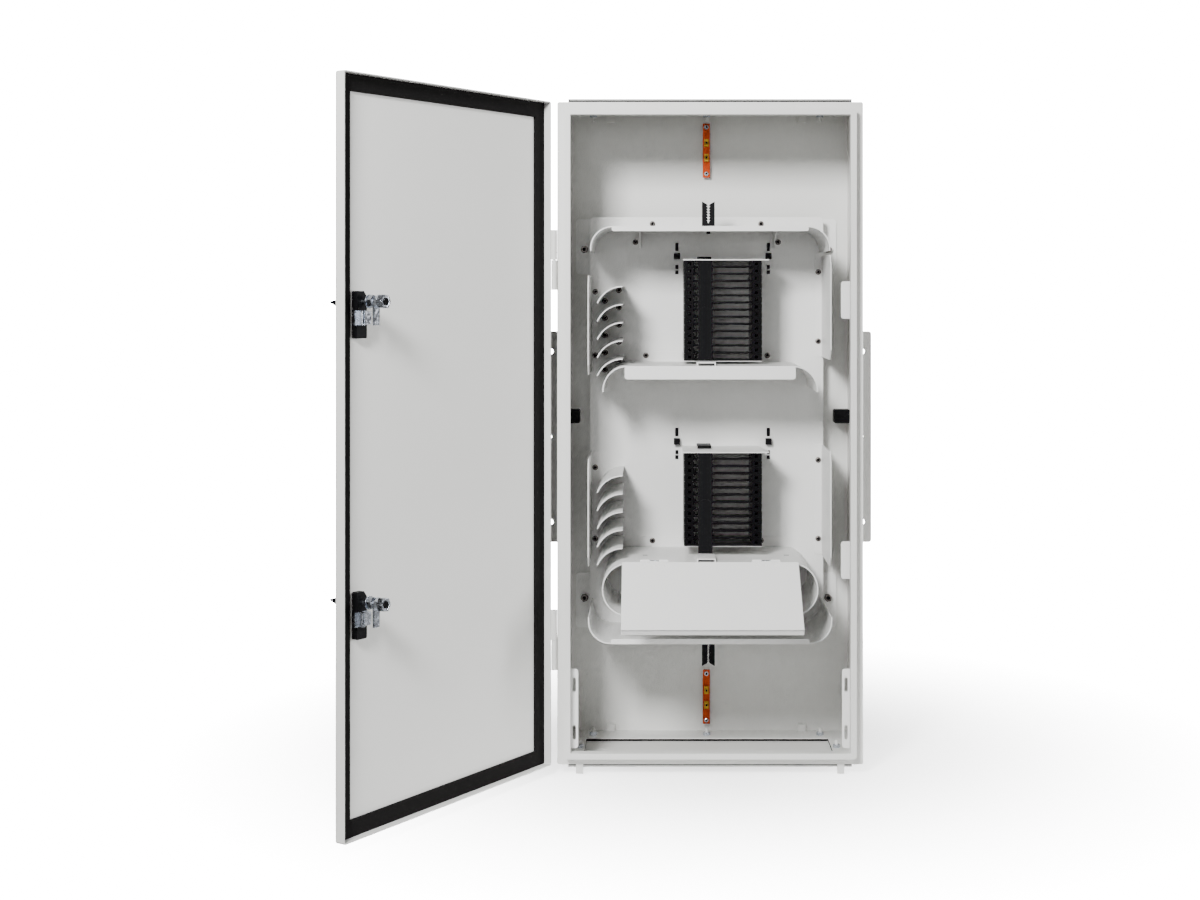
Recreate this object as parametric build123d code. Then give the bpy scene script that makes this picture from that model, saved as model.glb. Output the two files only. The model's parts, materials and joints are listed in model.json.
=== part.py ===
from build123d import *
import os

os.makedirs("parts", exist_ok=True)

# Wall-mounted optical splice enclosure, millimetres.
# Origin: centre of the cabinet's rear face, which lies on the wall plane Y = 0.
# +X is right seen from the front, +Y runs into the wall, +Z is up, so the front faces -Y.
# The door pieces are made shut and then swung open about the hinge line.

# Cabinet sheet metal
BODY_W = 424.0
BODY_H = 918.0
BODY_D = 203.0
SHEET = 1.5
BODY_CORNER = 3.0
RIM_STEP = 15.0
BAND_W = 10.5
RIM_FACE = 8.0
RIM_CORNER = 5.0

# Door pan and its seal
DOOR_D = 15.0
DOOR_EDGE = 3.0
SEAL_W = 21.0
SEAL_T = 3.0
SEAL_GAP = 0.3
DOOR_OPEN = 122.0

# Lift-off hinges of the door
KNUCKLE_D = 8.0
HINGE_PIN_D = 4.0
HINGE_LEN = 83.0
HINGE_SPLIT = 0.5
LEAF_T = 2.0
DOOR_LEAF_W = 14.0
BODY_LEAF_W = 24.0
HINGE_Z = (240.0, -286.0)
RUN_FIT = 0.05

# Quarter-turn latches
LATCH_Z = (184.5, -177.0)
LATCH_IN = 39.0
HOUSING_W = 18.0
HOUSING_H = 57.0
HOUSING_T = 8.0
HOUSING_DROP = 16.0
HOUSING_RIGHT = 29.0
BEZEL_T = 3.0
SHAFT_D = 6.0
SHAFT_LEN = 44.0
NUT_AF = 11.0
NUT_H = 6.0
CAM_AT = 28.0
CAM_T = 3.0
CAM_W = 14.0
CAM_REACH = 28.5
HANDLE_OUT = 41.0
HANDLE_H = 22.0
HANDLE_T = 9.0
HANDLE_FOOT_D = 18.0
BRACKET_H = 17.5
BRACKET_BARREL_D = 7.0

# Strikes behind the right-hand rim
STRIKE_H = 52.0
STRIKE_T = 2.0
STRIKE_GAP = 1.2
STRIKE_REACH = 28.5
STRIKE_LEG = 26.0
STRIKE_R = 4.0

# Cable-entry gland plates, under the floor and on the roof
GLAND_SIDE_IN = 15.0
GLAND_BACK = 20.0
GLAND_FRONT_IN = 21.0
GLAND_T = 2.0
GLAND_SEAL_T = 3.0
ENTRY_SIDE = 20.0
ENTRY_REAR = 28.0
ENTRY_NEAR = 22.0
STUD_D = 5.0
STUD_HOLE_D = 5.8
STUD_LEN = 15.0
STUD_IN = 30.0
STUD_SIDE_IN = 13.0
STUD_EDGE = 10.0
GLAND_NUT_AF = 9.0
GLAND_NUT_H = 4.5
KNOCKOUT_D = 26.0
KNOCKOUT_SMALL_D = 10.0
KNOCKOUT_RISE = 0.8
KNOCKOUT_PITCH = 42.0
KNOCKOUT_COUNT = 7
KNOCKOUT_START = 109.2
KNOCKOUT_SMALL_START = 151.2

# Drip tabs under the front band
TAB_IN = 31.0
TAB_W = 10.0
TAB_DROP = 13.0

# Welded lugs on the rear wall
LUG_IN = 70.0
LUG_W = 12.0
LUG_H = 10.0
LUG_T = 6.0

# Side mounting flanges
WING_OUT = 34.0
WING_T = 2.5
WING_LEG = 36.0
WING_TOP = 137.0
WING_BOTTOM = -177.0
WING_CORNER = 4.0
BOLT_D = 9.0
BOLT_OUT = 20.0
BOLT_IN = 30.0
WING_PILOT_D = 5.0

# Chassis plate that carries the fibre management
CHASSIS_SIDE = 40.0
CHASSIS_H = 612.0
CHASSIS_T = 2.0
CHASSIS_FACE = 27.0
CHASSIS_CORNER = 6.0
EAR_W = 22.0
EAR_H = 82.0
EAR_END = 2.0
EAR_CORNER = 6.0
EAR_BOLT_END = 47.0
EAR_BOLT_OUT = 9.0
EAR_NUT_AF = 10.0
EAR_NUT_H = 8.0

# Slot columns in the chassis plate, and the clips of the tray racks
SLOT_X = (-44.0, 91.0)
SLOT_W = 5.0
SLOT_H = 12.0
SLOT_RISE = 14.0
SLOT_LOW_H = 6.0
RACK_TOPS = (242.0, -31.0)
CLIP_SIDE = 9.0
CLIP_T = 9.0
CLIP_DROP = 2.0

# Formed shelves
PRESS = 1.5
LIP_CORNER = 4.0
TOP_SHELF_IN = 5.5
TOP_SHELF_Z = 287.0
TOP_SHELF_R = 31.0
TOP_SHELF_DROP = 34.0
TOP_LIP_IN = 30.0
TOP_LIP_H = 7.0
TOP_FLANGE_IN = 47.0
MID_SHELF_IN = 22.5
MID_SHELF_Z = 93.0
MID_SHELF_R = 34.0
MID_SHELF_DROP = 36.0
MID_LIP_IN = 31.0
MID_LIP_H = 18.5
MID_FLANGE_IN = 61.0
SHELF_FRONT = 188.0
FLANGE_H = 15.0
FLANGE_RELIEF = 3.0
CRADLE_IN = 2.5
CRADLE_Z = -293.0
CRADLE_R = 31.0
CRADLE_RISE = 37.0
CRADLE_LIP_IN = 31.5
CRADLE_LIP_H = 7.0
CRADLE_FRONT = 184.0

# Slack storage drum and its cover
DRUM_IN = 22.0
DRUM_Z = -180.0
DRUM_H = 74.0
DRUM_SPLIT = 0.6
DRUM_FRONT = 188.0
COVER_IN = 50.0
COVER_LEN = 104.0
COVER_T = 1.5
COVER_LIP = 10.0
COVER_GAP = 2.0
COVER_OPEN = 52.0
COVER_KNUCKLE_D = 5.0
COVER_PIN_D = 2.5
COVER_HINGE_W = 39.0
COVER_HINGE_X = 77.5
COVER_LEAF_T = 1.0
COVER_LEAF_W = 14.0

# Triangular gussets under the top shelf
GUSSET_X = (-98.0, 98.0)
GUSSET_H = 26.0
GUSSET_D = 70.0
GUSSET_FOOT = 12.0
GUSSET_NOSE = 4.0
GUSSET_SCREW_DROP = 16.5

# Bend-limiting fingers on the left
FINGER_R = 39.0
FINGER_SWEEP = 67.0
FINGER_IN = 50.0
FINGER_FRONT = 165.0
FINGER_PITCH = 25.4
FINGER_COUNT = 5
FINGER_TOPS = (204.0, -61.0)
FINGER_TAB_W = 10.0
FINGER_TAB_H = 9.5
FINGER_TABS = ((-7.5, 0.4), (-28.0, 16.0))

# Side guards that fence the fibre in
GUARD_IN = 1.0
GUARD_FRONT = 160.0
GUARD_FOOT = 12.0
GUARD_CHAMFER = 14.0
GUARD_SCREW_END = 23.0
UPPER_LEFT_GUARD = (219.0, 79.0)
LOWER_LEFT_GUARD = (-40.0, -191.0)
UPPER_RIGHT_GUARD = (248.0, 100.0)
LOWER_RIGHT_GUARD = (-29.0, -191.0)

# Splice trays and their racks
TRAY_W = 110.5
TRAY_X = 20.0
TRAY_FRONT = 130.0
TRAY_DEPTH = 96.0
TRAY_PITCH = 10.16
TRAY_COUNTS = (14, 13)
TRAY_END = 11.0
TRAY_END_H = 7.4
TRAY_FLOOR_T = 1.5
TRAY_FLOOR_D = 40.0
TRAY_RIM_H = 3.0
TRAY_RIM_T = 2.0
TRAY_REST = 0.06
RACK_T = 1.5
RACK_NOSE = 4.0
RACK_WIDE_RIGHT = 10.0
RACK_WIDE_LEFT = 1.5
RACK_CUT = 30.0
RACK_SLOT_IN = 52.0
RACK_SLOT_D = 10.0

# Tray straps
STRAP_W = 20.0
STRAP_T = 1.2
STRAP_X = -5.0
STRAP_CLEAR = 0.3
STRAP_TAIL = 76.0
STRAP_BACK = 46.0
BRIDGE_W = 26.0
BRIDGE_H = 5.0
BRIDGE_BEHIND = 6.0

# Cable clamps at the top shelf and the cradle
CLAMP_W = 18.0
CLAMP_D = 14.0
CLAMP_H = 38.0
CLAMP_SLOT = 4.0
CLAMP_BASE = 8.0
CLAMP_Y = -104.0
CLAMP_TEETH = 3
CLAMP_TOOTH_START = 6.0
CLAMP_TOOTH_PITCH = 8.0
CLAMP_TOOTH_H = 4.0
CLAMP_TOOTH_D = 1.5

# Earthing bars on the rear wall
BAR_W = 10.5
BAR_LEN = 80.0
BAR_T = 4.0
BAR_END = 53.5
BAR_STANDOFF = 6.0
TERMINAL_W = 8.0
TERMINAL_H = 11.0
TERMINAL_T = 5.0
TERMINAL_PITCH = 22.0
BAR_SCREW_PITCH = 62.0
TERMINAL_SCREW_D = 5.0
TERMINAL_SCREW_H = 2.0

# Black clips on the side walls and slotted tie brackets at the front
CLIP_Z = 13.0
WALL_CLIP_OUT = 24.0
WALL_CLIP_H = 20.0
WALL_CLIP_D = 20.0
WALL_CLIP_Y = -32.0
TIE_W = 25.0
TIE_IN = 4.0
TIE_H = 110.0
TIE_END = 22.0
TIE_CORNER = 4.0
TIE_SLOT_W = 4.6
TIE_SLOT_H = 20.0
TIE_SLOT_IN = 5.5
TIE_SLOT_OFF = 33.0

# Screws
SCREW_D = 6.6
SCREW_H = 2.4
SCREW_ROUND = 1.44
SHELF_SCREW_X = 80.0
SHELF_SCREW_RISE = 9.0
MID_SCREW_X = 89.6
FINGER_SCREW_RISE = 4.0


def block(x0, x1, y0, y1, z0, z1):
    """Box between two corners."""
    size = (abs(x1 - x0), abs(y1 - y0), abs(z1 - z0))
    return Pos((x0 + x1) / 2, (y0 + y1) / 2, (z0 + z1) / 2) * Box(*size)


def front_plane(y, x=0.0, z=0.0):
    """Plane seen from the front: local x is X, local y is Z, outward is -Y."""
    return Plane(origin=(x, y, z), x_dir=(1, 0, 0), z_dir=(0, -1, 0))


def slab(sketch, y_back, y_front, x=0.0, z=0.0):
    """A front-view outline extruded from y_back forward to y_front."""
    return extrude(front_plane(y_back, x, z) * sketch, amount=y_back - y_front)


def frame_ring(half_w, half_h, width, y_back, y_front, corner):
    """Closed rectangular band seen from the front, `width` wide inside its outline."""
    outer = RectangleRounded(2 * half_w, 2 * half_h, corner)
    inner_corner = max(corner - width, 0.8)
    inner = RectangleRounded(2 * (half_w - width), 2 * (half_h - width), inner_corner)
    return slab(outer - inner, y_back, y_front)


def rod(x, y, z0, z1, diameter):
    """Upright round bar."""
    return Pos(x, y, (z0 + z1) / 2) * Cylinder(diameter / 2, abs(z1 - z0))


def stud_y(x, z, y_back, y_front, diameter):
    """Round bar along Y."""
    return slab(Circle(diameter / 2), y_back, y_front, x, z)


def hexagon(across_flats):
    return RegularPolygon(across_flats / 2, 6, major_radius=False)


body_x = BODY_W / 2
body_z = BODY_H / 2
rim_x = body_x - BAND_W
rim_z = body_z - BAND_W
inner_x = body_x - SHEET
inner_z = body_z - SHEET
rim_y = -BODY_D
band_y = rim_y + RIM_STEP
back_y = -SHEET
chassis_y = -CHASSIS_FACE
chassis_z = CHASSIS_H / 2
chassis_x = body_x - CHASSIS_SIDE
gland_x = body_x - GLAND_SIDE_IN
gland_back_y = -GLAND_BACK
gland_front_y = GLAND_FRONT_IN - BODY_D
entry_x = gland_x - ENTRY_SIDE
entry_back_y = gland_back_y - ENTRY_REAR
entry_front_y = gland_front_y + ENTRY_NEAR
bar_z = (body_z - BAR_END, BAR_END - body_z)

door_y = rim_y - SEAL_GAP - SEAL_T - SHEET
door_in_y = door_y + SHEET
door_tip_y = door_y + DOOR_D
hinge_x = -body_x - KNUCKLE_D / 2
hinge_y = (door_tip_y + band_y) / 2

swing = Pos(hinge_x, hinge_y, 0) * Rot(0, 0, -DOOR_OPEN) * Pos(-hinge_x, -hinge_y, 0)

cover_axis_z = DRUM_Z + COVER_KNUCKLE_D / 2
cover_axis_y = -DRUM_FRONT - COVER_KNUCKLE_D / 2 + COVER_GAP
lift = (Pos(0, cover_axis_y, cover_axis_z) * Rot(-COVER_OPEN, 0, 0)
        * Pos(0, -cover_axis_y, -cover_axis_z))

guards = {
    "upper_left_guard": (-1, UPPER_LEFT_GUARD),
    "lower_left_guard": (-1, LOWER_LEFT_GUARD),
    "upper_right_guard": (1, UPPER_RIGHT_GUARD),
    "lower_right_guard": (1, LOWER_RIGHT_GUARD),
}
parts = {}


def cabinet_body():
    """Welded shell: rear panel, four walls, front band and the folded sealing rim."""
    walls = frame_ring(body_x, body_z, SHEET, 0, band_y, BODY_CORNER)
    rear = slab(RectangleRounded(BODY_W, BODY_H, BODY_CORNER), 0, back_y)
    band = frame_ring(body_x, body_z, BAND_W + SHEET, band_y + SHEET, band_y, BODY_CORNER)
    rim_outer = frame_ring(rim_x, rim_z, SHEET, band_y + SHEET, rim_y, RIM_CORNER)
    rim_face = frame_ring(rim_x, rim_z, RIM_FACE, rim_y + SHEET, rim_y, RIM_CORNER)
    rim_inner = frame_ring(rim_x - RIM_FACE + SHEET, rim_z - RIM_FACE + SHEET, SHEET,
                           band_y, rim_y, 2 * SHEET)
    shell = walls + rear + band + rim_outer + rim_face + rim_inner
    for side in (-1, 1):
        x = side * (body_x - TAB_IN)
        shell += block(x - TAB_W / 2, x + TAB_W / 2, band_y, band_y + SHEET,
                       -body_z - TAB_DROP, -body_z + SHEET)
        for level in (-1, 1):
            z = level * (inner_z - LUG_H / 2)
            lug_x = side * (body_x - LUG_IN)
            shell += block(lug_x - LUG_W / 2, lug_x + LUG_W / 2,
                           back_y - LUG_T, back_y, z - LUG_H / 2, z + LUG_H / 2)
    for level in (-1, 1):
        entry = block(-entry_x, entry_x, entry_front_y, entry_back_y,
                      level * (body_z + SHEET), level * (inner_z - SHEET))
        shell -= entry
        for x, y in stud_places():
            shell -= rod(x, y, level * (body_z + SHEET), level * (inner_z - SHEET), STUD_HOLE_D)
    return shell


def stud_places():
    """Plan positions of the gland plate studs."""
    far_x = gland_x - STUD_IN
    side_x = gland_x - STUD_SIDE_IN
    rows = (gland_back_y - STUD_EDGE, gland_front_y + STUD_EDGE)
    places = [(x, y) for x in (-far_x, 0.0, far_x) for y in rows]
    middle = (gland_back_y + gland_front_y) / 2
    return places + [(-side_x, middle), (side_x, middle)]


def gland_seal(level):
    face = level * body_z
    seal = block(-gland_x, gland_x, gland_front_y, gland_back_y,
                 face, face + level * GLAND_SEAL_T)
    seal -= block(-entry_x, entry_x, entry_front_y, entry_back_y,
                  face - level, face + level * (GLAND_SEAL_T + 1))
    for x, y in stud_places():
        seal -= rod(x, y, face - level, face + level * (GLAND_SEAL_T + 1), STUD_HOLE_D)
    return seal


def gland_plate(level):
    """Blank entry plate with pressed knockouts and eight weld studs."""
    near = level * (body_z + GLAND_SEAL_T)
    far = near + level * GLAND_T
    plate = block(-gland_x, gland_x, gland_front_y, gland_back_y, near, far)
    middle = (entry_back_y + entry_front_y) / 2
    for i in range(KNOCKOUT_COUNT):
        x = i * KNOCKOUT_PITCH - KNOCKOUT_START
        plate += rod(x, middle, near, near - level * KNOCKOUT_RISE, KNOCKOUT_D)
    for y in (middle - KNOCKOUT_D / 2, middle + KNOCKOUT_D / 2):
        plate += rod(-KNOCKOUT_SMALL_START, y, near, near - level * KNOCKOUT_RISE,
                     KNOCKOUT_SMALL_D)
    for x, y in stud_places():
        plate += rod(x, y, near, near - level * STUD_LEN, STUD_D)
    return plate


def gland_nuts():
    nuts = []
    for level in (-1, 1):
        for x, y in stud_places():
            face = level * inner_z
            ring = hexagon(GLAND_NUT_AF) - Circle(STUD_D / 2)
            nuts.append(extrude(Pos(x, y, face) * ring, amount=-level * GLAND_NUT_H,
                                dir=(0, 0, 1)))
    return nuts


def door_panel():
    """Folded door pan, open towards the cabinet, with latch cut-outs."""
    outline = RectangleRounded(BODY_W, BODY_H, BODY_CORNER)
    pan = slab(outline, door_tip_y, door_y)
    pan = fillet(pan.faces().sort_by(Axis.Y)[0].edges(), DOOR_EDGE)
    inside = RectangleRounded(BODY_W - 2 * SHEET, BODY_H - 2 * SHEET, BODY_CORNER / 2)
    pan -= slab(inside, door_tip_y + 1, door_in_y)
    for z in LATCH_Z:
        pan -= slab(Rectangle(SHAFT_D * 2, SHAFT_D * 2), door_in_y + 1, door_y - 1,
                    latch_x(), z)
    return pan


def door_seal():
    half_w = body_x - SHEET
    half_h = body_z - SHEET
    return frame_ring(half_w, half_h, SEAL_W, door_in_y + SEAL_T, door_in_y, BODY_CORNER / 2)


def knuckle(z0, z1, bore):
    ring = Circle(KNUCKLE_D / 2) - Circle(bore / 2)
    return extrude(Pos(hinge_x, hinge_y, z0) * ring, amount=z1 - z0)


def leaf_plate(z0, z1, y0, y1, bore):
    x1 = -body_x
    plate = block(x1 - LEAF_T, x1, y0, y1, z0, z1)
    return plate - rod(hinge_x, hinge_y, z0 - 1, z1 + 1, bore)


def hinge_door_leaf(z):
    bore = HINGE_PIN_D + 2 * RUN_FIT
    z0 = z + HINGE_SPLIT / 2
    z1 = z + HINGE_LEN / 2
    return (knuckle(z0, z1, bore)
            + leaf_plate(z0, z1, hinge_y - DOOR_LEAF_W, hinge_y, bore))


def hinge_body_leaf(z):
    z0 = z - HINGE_LEN / 2
    z1 = z - HINGE_SPLIT / 2
    return (knuckle(z0, z1, HINGE_PIN_D)
            + leaf_plate(z0, z1, hinge_y, hinge_y + BODY_LEAF_W, HINGE_PIN_D))


def hinge_pin(z):
    return rod(hinge_x, hinge_y, z - HINGE_LEN / 2, z + HINGE_LEN / 2, HINGE_PIN_D)


def latch_x():
    return body_x - LATCH_IN


def latch_housing(z):
    """Moulded latch body inside the door, its neck through the skin and the outer bezel."""
    x = latch_x()
    x0 = body_x - HOUSING_RIGHT - HOUSING_W
    x1 = body_x - HOUSING_RIGHT
    middle = z - HOUSING_DROP
    outline = Pos((x0 + x1) / 2, middle) * RectangleRounded(HOUSING_W, HOUSING_H, 2)
    corner = Polyline((x0 - 1, middle + HOUSING_H / 2 + 1),
                      (x0 - 1, middle + HOUSING_H / 2 - 8),
                      (x0 + 6, middle + HOUSING_H / 2 + 1), close=True)
    outline -= make_face(corner)
    inner = slab(outline, door_in_y + HOUSING_T, door_in_y)
    neck = slab(Rectangle(SHAFT_D * 2, SHAFT_D * 2), door_in_y, door_y, x, z)
    bezel = slab(Pos((x0 + x1) / 2 - x, middle - z) * RectangleRounded(HOUSING_W + 6,
                                                                     HOUSING_H + 6, 4),
                 door_y, door_y - BEZEL_T, x, z)
    bore = stud_y(x, z, door_in_y + HOUSING_T + 1, door_y - BEZEL_T - 1,
                  SHAFT_D + 2 * RUN_FIT)
    return inner + neck + bezel - bore


def latch_bracket(z):
    """Zinc guide with a rolled edge, riveted on the housing below the shaft."""
    face = door_in_y + HOUSING_T
    z1 = z - NUT_AF
    z0 = z1 - BRACKET_H
    x1 = body_x - HOUSING_RIGHT
    base = block(x1 - HOUSING_W, x1 + 6, face, face + 2, z0, z1)
    barrel = rod(x1 - BRACKET_BARREL_D / 2, face + 2 + BRACKET_BARREL_D / 2, z0, z1,
                 BRACKET_BARREL_D)
    web = block(x1 - BRACKET_BARREL_D, x1, face + 2, face + 2 + BRACKET_BARREL_D / 2, z0, z1)
    ear = block(x1 - HOUSING_W, x1 - BRACKET_BARREL_D, face + 2, face + 7, z0 + 1, z1 - 1)
    return base + barrel + web + ear


def latch_shaft(z):
    return stud_y(latch_x(), z, door_in_y + SHAFT_LEN, door_y - BEZEL_T, SHAFT_D)


def latch_cam(z):
    x = latch_x()
    arm = (Circle(CAM_W / 2) + Pos(0, -CAM_REACH / 2) * Rectangle(CAM_W, CAM_REACH)
           - Circle(SHAFT_D / 2))
    back = door_in_y + CAM_AT + CAM_T
    cam = slab(arm, back, back - CAM_T, x, z)
    heel = block(x - CAM_W / 2, x + CAM_W / 2, back, back + 5,
                 z - CAM_REACH, z - CAM_REACH + 10)
    return cam + heel


def latch_nuts(z):
    x = latch_x()
    ring = hexagon(NUT_AF) - Circle(SHAFT_D / 2)
    near = door_in_y + CAM_AT
    far = near + CAM_T
    return [slab(ring, near, near - NUT_H, x, z), slab(ring, far + NUT_H, far, x, z)]


def latch_handle(z):
    """Turn handle outside the door: round foot and a tapered fin."""
    x = latch_x()
    foot_y = door_y - BEZEL_T - 0.4
    foot = stud_y(x, z, foot_y, foot_y - 6, HANDLE_FOOT_D)
    fin = Polyline((foot_y - 2, z + HANDLE_H / 4), (door_y - HANDLE_OUT, z - 0.5),
                   (foot_y - 2, z - HANDLE_H * 3 / 4), close=True)
    blade = Plane(origin=(x - HANDLE_T / 2, 0, 0), x_dir=(0, 1, 0), z_dir=(1, 0, 0))
    wing = extrude(blade * make_face(fin), amount=HANDLE_T)
    wing = fillet(wing.edges().filter_by(Axis.X), 1.0)
    neck = stud_y(x, z, door_y - BEZEL_T, foot_y, SHAFT_D)
    return foot + wing + neck


def strike(z):
    """Angle on the side wall that the latch cam turns behind."""
    cam_face = door_in_y + CAM_AT
    y1 = cam_face - STRIKE_GAP
    outline = Pos(inner_x - STRIKE_REACH / 2, z) * Rectangle(STRIKE_REACH, STRIKE_H)
    plate = slab(outline, y1, y1 - STRIKE_T)
    plate = fillet(plate.edges().filter_by(Axis.Y).group_by(Axis.X)[0], STRIKE_R)
    leg = block(inner_x - STRIKE_T, inner_x, y1 - STRIKE_T, y1 + STRIKE_LEG,
                z - STRIKE_H / 2, z + STRIKE_H / 2)
    return plate + leg


def side_wing(side):
    """Angle bracket on the cabinet side, its outer leg flat on the wall."""
    x = side * body_x
    outline = RectangleRounded(2 * WING_OUT, WING_TOP - WING_BOTTOM, WING_CORNER)
    middle = (WING_TOP + WING_BOTTOM) / 2
    flange = slab(outline, 0, -WING_T, x, middle)
    flange -= block(x, x - side * (WING_OUT + 1), 1, -WING_T - 1,
                    WING_BOTTOM - 1, WING_TOP + 1)
    leg = block(x, x + side * WING_T, -WING_LEG, 0, WING_BOTTOM + WING_CORNER,
                WING_TOP - WING_CORNER)
    wing = flange + leg
    for z in wing_bolts_z():
        wing -= stud_y(x + side * BOLT_OUT, z, 1, -WING_T - 1, BOLT_D)
    wing -= stud_y(x + side * BOLT_OUT, middle, 1, -WING_T - 1, WING_PILOT_D)
    return wing


def wing_bolts_z():
    return (WING_TOP - BOLT_IN, WING_BOTTOM + BOLT_IN)


def chassis_plate():
    """Raised mounting plate with folded sides, four ears and two columns of slots."""
    y1 = chassis_y
    half = chassis_x
    plate = slab(RectangleRounded(2 * half, CHASSIS_H, CHASSIS_CORNER), y1 + CHASSIS_T, y1)
    for top in RACK_TOPS:
        for x in SLOT_X:
            for low, high in ((SLOT_RISE, SLOT_RISE + SLOT_H),
                              (-SLOT_RISE - SLOT_LOW_H, -SLOT_RISE)):
                plate -= block(x - SLOT_W / 2, x + SLOT_W / 2, y1 - 1, y1 + CHASSIS_T + 1,
                               top + low, top + high)
    for side in (-1, 1):
        plate += block(side * half, side * (half - CHASSIS_T), y1, back_y,
                       CHASSIS_CORNER - chassis_z, chassis_z - CHASSIS_CORNER)
        for level in (-1, 1):
            middle = level * (chassis_z - EAR_END - EAR_H / 2)
            ear = RectangleRounded(2 * EAR_W, EAR_H, EAR_CORNER)
            tab = slab(ear, back_y, back_y - CHASSIS_T, side * half, middle)
            tab -= block(side * (half - CHASSIS_T), side * (half - EAR_W - 1), 0, y1,
                         middle - EAR_H, middle + EAR_H)
            plate += tab
    return plate


def chassis_nuts():
    ring = hexagon(EAR_NUT_AF)
    y1 = back_y - CHASSIS_T
    x = chassis_x + EAR_BOLT_OUT
    z = chassis_z - EAR_BOLT_END
    return [slab(ring, y1, y1 - EAR_NUT_H, side * x, level * z)
            for side in (-1, 1) for level in (-1, 1)]


def u_sheet(width, radius, drop, thickness):
    """Front outline of a sheet whose two ends curve down; its top is at local Z = 0."""
    tall = 4 * drop
    outer = RectangleRounded(width, tall, radius)
    inner = RectangleRounded(width - 2 * thickness, tall - 2 * thickness, radius - thickness)
    keep = Pos(0, (tall - drop) / 2) * Rectangle(width + 2, drop)
    return Pos(0, -tall / 2) * ((outer - inner) & keep)


def formed_shelf(z, inset, radius, drop, front, lip_in, lip_h, flange_in, up=False):
    """Shelf with curled ends, a folded front lip and an upturned rear flange."""
    width = 2 * (chassis_x - inset)
    lip_w = width - 2 * lip_in
    sheet = u_sheet(width, radius, drop, PRESS)
    if up:
        sheet = mirror(sheet, Plane.XZ)
    shelf = slab(sheet, chassis_y, -front, 0, z)
    lip_z = z + lip_h / 2 if up else z - lip_h / 2
    corner = min(lip_h / 2 - 0.4, LIP_CORNER)
    shelf += slab(RectangleRounded(lip_w, lip_h, corner), -front, -front - PRESS, 0, lip_z)
    if flange_in:
        shelf += rear_flange(2 * (chassis_x - flange_in), z - PRESS, z + FLANGE_H, z)
    return shelf


def rear_flange(width, low, high, deck):
    """Upturned strip against the chassis plate, relieved behind a tray rack."""
    strip = block(-width / 2, width / 2, chassis_y, chassis_y - PRESS, low, high)
    left = TRAY_X - TRAY_W / 2 - 1
    right = TRAY_X + TRAY_W / 2 + 1
    return strip - block(left, right, chassis_y + 1, chassis_y - PRESS - 1,
                         deck + FLANGE_RELIEF, high + 1)


def strap_bridge(z):
    """Lanced bridge in front of a tray stack that the strap passes under."""
    y0 = -TRAY_FRONT - RACK_NOSE - 1
    y1 = BRIDGE_BEHIND - SHELF_FRONT
    top = block(STRAP_X - BRIDGE_W / 2, STRAP_X + BRIDGE_W / 2, y0, y1,
                z + BRIDGE_H - PRESS, z + BRIDGE_H)
    legs = [block(STRAP_X + s * BRIDGE_W / 2, STRAP_X + s * (BRIDGE_W / 2 - PRESS),
                  y0, y1, z, z + BRIDGE_H) for s in (-1, 1)]
    return top + legs[0] + legs[1]


def middle_shelf():
    shelf = formed_shelf(MID_SHELF_Z, MID_SHELF_IN, MID_SHELF_R, MID_SHELF_DROP, SHELF_FRONT,
                         MID_LIP_IN, MID_LIP_H, MID_FLANGE_IN)
    return shelf + strap_bridge(MID_SHELF_Z)


def top_shelf():
    return formed_shelf(TOP_SHELF_Z, TOP_SHELF_IN, TOP_SHELF_R, TOP_SHELF_DROP, SHELF_FRONT,
                        TOP_LIP_IN, TOP_LIP_H, TOP_FLANGE_IN)


def cradle():
    return formed_shelf(CRADLE_Z, CRADLE_IN, CRADLE_R, CRADLE_RISE, CRADLE_FRONT,
                        CRADLE_LIP_IN, CRADLE_LIP_H, 0, up=True)


def drum_half(upper):
    """One half of the slack drum: a sheet with both ends rolled to a quarter circle."""
    radius = DRUM_H / 2
    sheet = u_sheet(2 * (chassis_x - DRUM_IN), radius - 0.01, radius - DRUM_SPLIT / 2, PRESS)
    flange_x = chassis_x - MID_FLANGE_IN
    if upper:
        half = slab(sheet, chassis_y, -DRUM_FRONT, 0, DRUM_Z)
        half += rear_flange(2 * flange_x, DRUM_Z - PRESS, DRUM_Z + FLANGE_H, DRUM_Z)
        half += strap_bridge(DRUM_Z)
        return half
    half = slab(mirror(sheet, Plane.XZ), chassis_y, -DRUM_FRONT, 0, DRUM_Z - DRUM_H)
    half += block(-flange_x, flange_x, chassis_y, chassis_y - PRESS,
                  DRUM_Z - DRUM_H, DRUM_Z - DRUM_H + FLANGE_H)
    return half


def drum_cover():
    """Hinged flap over the drum's mouth, with a folded lower edge."""
    inner_y = cover_axis_y - COVER_LEAF_T
    outer_y = inner_y - COVER_T
    top = DRUM_Z
    bottom = cover_axis_z - COVER_LEN
    half = chassis_x - COVER_IN
    sheet = block(-half, half, outer_y, inner_y, bottom, top)
    lip = block(-half, half, outer_y, outer_y + COVER_LIP, bottom, bottom + COVER_T)
    cover = sheet + lip
    pin_bore = COVER_PIN_D + 2 * RUN_FIT
    for x in (-COVER_HINGE_X, COVER_HINGE_X):
        x0 = x - COVER_HINGE_W / 6 + 0.2
        x1 = x + COVER_HINGE_W / 6 - 0.2
        cover += block(x0, x1, inner_y, inner_y + COVER_LEAF_T, top - COVER_LEAF_W,
                       cover_axis_z)
        cover += cover_knuckle(x0, x1)
        cover -= cover_rod(x0 - 1, x1 + 1, pin_bore)
    return cover


def cover_rod(x0, x1, diameter):
    bar = Plane(origin=(x0, cover_axis_y, cover_axis_z), x_dir=(0, 1, 0), z_dir=(1, 0, 0))
    return extrude(bar * Circle(diameter / 2), amount=x1 - x0)


def cover_knuckle(x0, x1):
    return cover_rod(x0, x1, COVER_KNUCKLE_D)


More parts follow.
